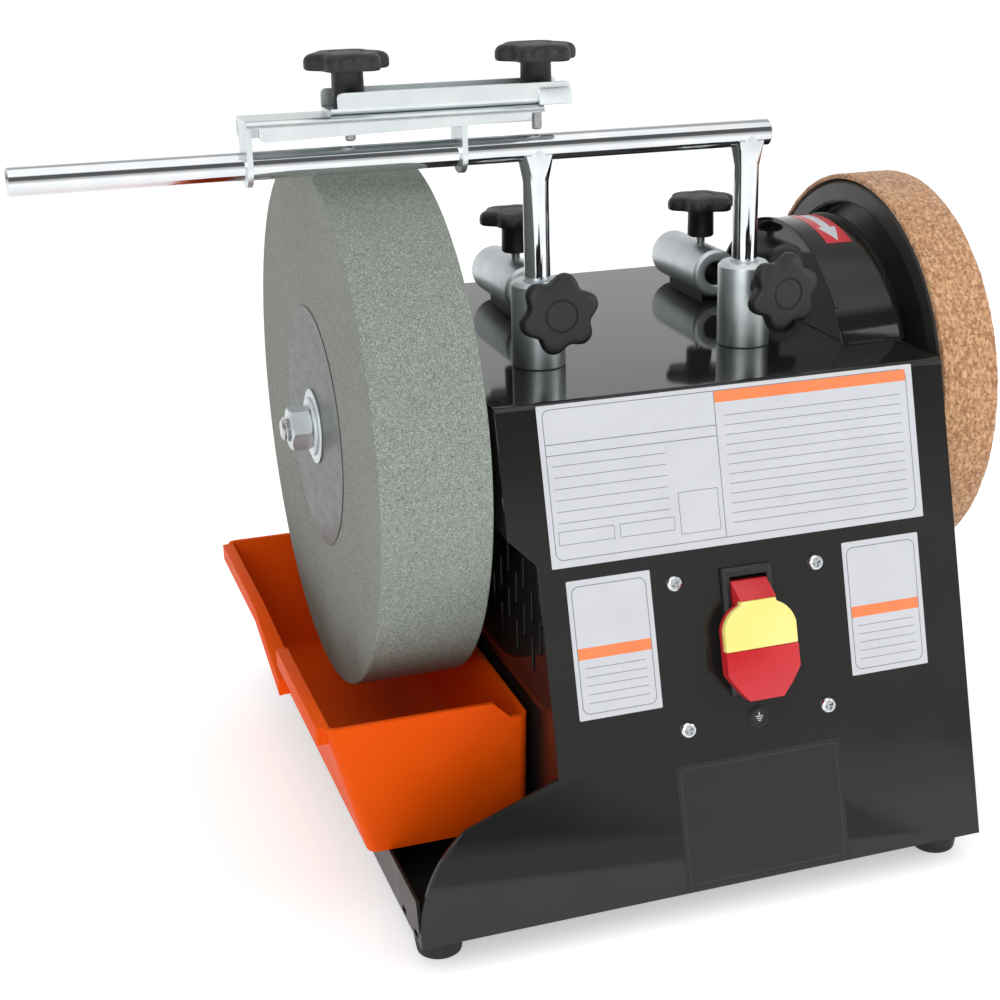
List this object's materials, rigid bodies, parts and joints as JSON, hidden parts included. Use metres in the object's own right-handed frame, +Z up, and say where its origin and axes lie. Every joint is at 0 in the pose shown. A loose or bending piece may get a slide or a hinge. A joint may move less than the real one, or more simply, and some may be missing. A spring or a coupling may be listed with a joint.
{
  "type": "wet grinding sharpener",
  "caption": "Bench wet grinding sharpener: a large stone turning in a water trough, a leather strop wheel, a height-adjustable tool bar with a clamping jig, and a paddle switch.",
  "frame": {"origin": "on the bench, under the spindle and midway along the base, level with the soles of the feet", "axes": "+X along the spindle towards the strop wheel, +Y to the back, +Z up"},
  "size_m": [0.461, 0.344, 0.3785],
  "materials": {
    "black_paint": "smooth gloss black powder paint",
    "feet_rubber": "black moulded rubber",
    "zinc_plate": "bright zinc plate",
    "bright_steel": "bright steel",
    "chrome_plate": "polished chrome",
    "knob_plastic": "moulded black plastic",
    "grey_stone": "grey-green bonded abrasive",
    "foil": "plain silver-grey foil",
    "trough_orange": "moulded orange plastic",
    "strop_leather_tan": "suede side of tan leather",
    "strop_black": "moulded black plastic",
    "bush_bronze": "sintered bronze",
    "wheel_alloy": "cast alloy",
    "motor_iron": "painted cast iron",
    "capacitor_plastic": "moulded case",
    "switch_black": "moulded black plastic",
    "switch_red": "moulded red plastic",
    "switch_yellow": "moulded yellow plastic"
  },
  "bodies": {
    "machine": {"front_panel": "black_paint", "back_panel": "black_paint", "top_plate": "black_paint", "base_tray": "black_paint", "left_wall": "black_paint", "right_wall": "black_paint", "drum_cover": "black_paint", "trough_ledge": "black_paint", "cord_gland": "feet_rubber", "rubber_feet": "feet_rubber", "foot_screws": "zinc_plate", "socket_left": "zinc_plate", "socket_right": "zinc_plate", "sleeve_left": "zinc_plate", "sleeve_right": "zinc_plate", "sleeve_pads": "zinc_plate", "bush_left": "bush_bronze", "bush_right": "bush_bronze", "motor_body": "motor_iron", "motor_mount": "zinc_plate", "run_capacitor": "capacitor_plastic", "switch_body": "switch_black", "panel_screws": "chrome_plate", "earth_plug": "switch_black"},
    "spindle_set": {"spindle": "bright_steel", "grinding_stone": "grey_stone", "stone_foil_disc": "foil", "stone_outer_flange": "zinc_plate", "stone_nut": "bright_steel", "stone_inner_flange": "zinc_plate", "shaft_collar": "zinc_plate", "strop_spacer": "zinc_plate", "strop_washer": "zinc_plate", "strop_nut": "bright_steel", "strop_core": "strop_black", "strop_leather": "strop_leather_tan", "drive_wheel": "wheel_alloy", "drive_tyre": "feet_rubber"},
    "rotor": {"motor_rotor": "bright_steel"},
    "tool_support": {"support_bar": "chrome_plate", "support_post_left": "chrome_plate", "support_post_right": "chrome_plate"},
    "jig": {"jig_base": "zinc_plate"},
    "jig_clamp": {"jig_clamp_channel": "zinc_plate"},
    "switch_paddle": {"switch_paddle": "switch_red"},
    "switch_key": {"switch_key": "switch_yellow"},
    "trough": {"water_trough": "trough_orange"},
    "socket_left_knob": {"socket_left_knob": "knob_plastic", "socket_left_stud": "bright_steel"},
    "socket_right_knob": {"socket_right_knob": "knob_plastic", "socket_right_stud": "bright_steel"},
    "sleeve_left_knob": {"sleeve_left_knob": "knob_plastic", "sleeve_left_stud": "bright_steel"},
    "sleeve_right_knob": {"sleeve_right_knob": "knob_plastic", "sleeve_right_stud": "bright_steel"},
    "jig_left_knob": {"jig_left_knob": "knob_plastic", "jig_left_stud": "bright_steel"},
    "jig_right_knob": {"jig_right_knob": "knob_plastic", "jig_right_stud": "bright_steel"}
  },
  "joints": [
    {"name": "spindle_spin", "type": "hinge", "parent": "machine", "child": "spindle_set", "pos_m": [0, 0, 0.2], "axis": [1, 0, 0], "continuous": true},
    {"name": "motor_spin", "type": "hinge", "parent": "machine", "child": "rotor", "pos_m": [0, 0.03993, 0.13085], "axis": [1, 0, 0], "continuous": true},
    {"name": "support_height", "type": "slide", "parent": "machine", "child": "tool_support", "axis": [0, 0, 1], "range_m": [-0.005, 0.03]},
    {"name": "jig_slide", "type": "slide", "parent": "tool_support", "child": "jig", "axis": [1, 0, 0], "range_m": [-0.06, 0.015]},
    {"name": "clamp_lift", "type": "slide", "parent": "jig", "child": "jig_clamp", "axis": [0, 0, 1], "range_m": [0, 0.009]},
    {"name": "switch_lift", "type": "hinge", "parent": "machine", "child": "switch_paddle", "pos_m": [0.029, -0.13763, 0.13945], "axis": [-1, 0, 0], "range_deg": [0, 14]},
    {"name": "key_pull", "type": "slide", "parent": "switch_paddle", "child": "switch_key", "axis": [0, -0.9645, 0.2642], "range_m": [0, 0.012]},
    {"name": "trough_lift", "type": "slide", "parent": "machine", "child": "trough", "axis": [0, 0, 1], "range_m": [0, 0.02]},
    {"name": "socket_left_turn", "type": "hinge", "parent": "machine", "child": "socket_left_knob", "pos_m": [-0.0383, -0.049, 0.2645], "axis": [-0.0523, -0.9986, 0], "continuous": true},
    {"name": "sleeve_left_turn", "type": "hinge", "parent": "machine", "child": "sleeve_left_knob", "pos_m": [-0.0146, 0.056, 0.2474], "axis": [0, 0, 1], "continuous": true},
    {"name": "jig_left_turn", "type": "hinge", "parent": "jig_clamp", "child": "jig_left_knob", "pos_m": [-0.122, -0.049, 0.35296], "axis": [0, 0, 1], "continuous": true},
    {"name": "socket_right_turn", "type": "hinge", "parent": "machine", "child": "socket_right_knob", "pos_m": [0.0658, -0.049, 0.2645], "axis": [0.1219, -0.9925, 0], "continuous": true},
    {"name": "sleeve_right_turn", "type": "hinge", "parent": "machine", "child": "sleeve_right_knob", "pos_m": [0.0895, 0.056, 0.2474], "axis": [0, 0, 1], "continuous": true},
    {"name": "jig_right_turn", "type": "hinge", "parent": "jig_clamp", "child": "jig_right_knob", "pos_m": [-0.0373, -0.049, 0.35296], "axis": [0, 0, 1], "continuous": true}
  ],
  "couplings": [
    {"joint": "motor_spin", "follows": "spindle_spin", "ratio": -15.625}
  ]
}
